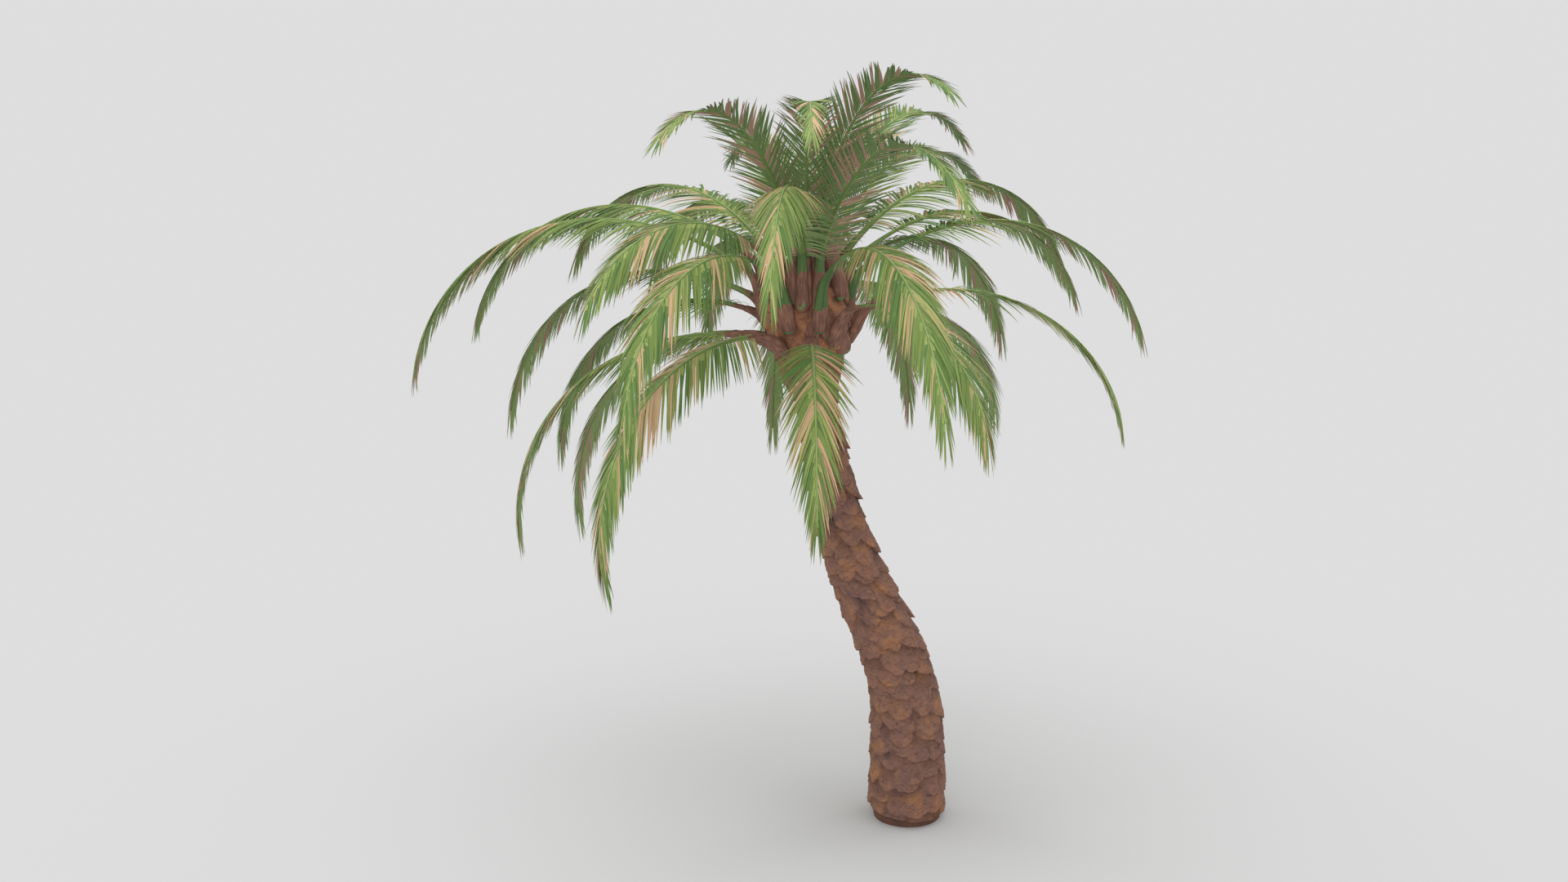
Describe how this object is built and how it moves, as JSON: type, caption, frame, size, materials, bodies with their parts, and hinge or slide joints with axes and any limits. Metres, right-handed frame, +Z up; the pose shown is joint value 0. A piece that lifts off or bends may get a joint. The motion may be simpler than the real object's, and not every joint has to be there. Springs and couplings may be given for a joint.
{
  "type": "date palm",
  "caption": "Date palm with a leaning trunk covered in cut leaf bases and a full crown of long arching feather fronds.",
  "frame": {"origin": "centre of the flat cut under the trunk, at ground level", "axes": "+Z up; the trunk leans towards -X in the plane Y = 0; -Y is the side the picture shows"},
  "size_m": [6.7561, 6.7016, 6.368],
  "materials": {
    "trunk_bark": "rough brown cut leaf bases, matte",
    "leaf_bases": "fibrous brown leaf bases, matte",
    "foliage": "green fronds with tan dry leaflets, soft sheen"
  },
  "bodies": {
    "root": {"crown_head": "leaf_bases", "frond_mature_01": "foliage", "frond_mature_02": "foliage", "frond_mature_03": "foliage", "frond_mature_04_inner": "foliage", "frond_mature_04_outer": "foliage", "frond_mature_05_inner": "foliage", "frond_mature_05_outer": "foliage", "frond_mature_06_inner": "foliage", "frond_mature_06_outer": "foliage", "frond_mature_07": "foliage", "frond_mature_08_inner": "foliage", "frond_mature_08_outer": "foliage", "frond_mature_09_inner": "foliage", "frond_mature_09_outer": "foliage", "frond_mature_10_inner": "foliage", "frond_mature_10_outer": "foliage", "frond_mature_11_inner": "foliage", "frond_mature_11_outer": "foliage", "frond_mature_12_inner": "foliage", "frond_mature_12_outer": "foliage", "frond_mature_13_inner": "foliage", "frond_mature_13_outer": "foliage", "frond_mature_14_inner": "foliage", "frond_mature_14_outer": "foliage", "frond_mature_15_inner": "foliage", "frond_mature_15_outer": "foliage", "frond_mature_16_inner": "foliage", "frond_mature_16_outer": "foliage", "frond_mature_17_inner": "foliage", "frond_mature_17_outer": "foliage", "frond_mature_18_inner": "foliage", "frond_mature_18_outer": "foliage", "frond_mature_19_inner": "foliage", "frond_mature_19_outer": "foliage", "frond_mature_20_inner": "foliage", "frond_mature_20_outer": "foliage", "frond_mature_21_inner": "foliage", "frond_mature_21_outer": "foliage", "frond_old_01_inner": "foliage", "frond_old_01_outer": "foliage", "frond_old_02_inner": "foliage", "frond_old_02_outer": "foliage", "frond_old_03_inner": "foliage", "frond_old_03_outer": "foliage", "frond_old_04_inner": "foliage", "frond_old_04_outer": "foliage", "frond_spear_01": "foliage", "frond_spear_02": "foliage", "frond_spear_03": "foliage", "frond_spear_04": "foliage", "frond_young_01": "foliage", "frond_young_02": "foliage", "frond_young_03": "foliage", "frond_young_04": "foliage", "frond_young_05": "foliage", "frond_young_06": "foliage", "frond_young_07": "foliage", "frond_young_08": "foliage", "trunk": "trunk_bark"}
  },
  "joints": []
}
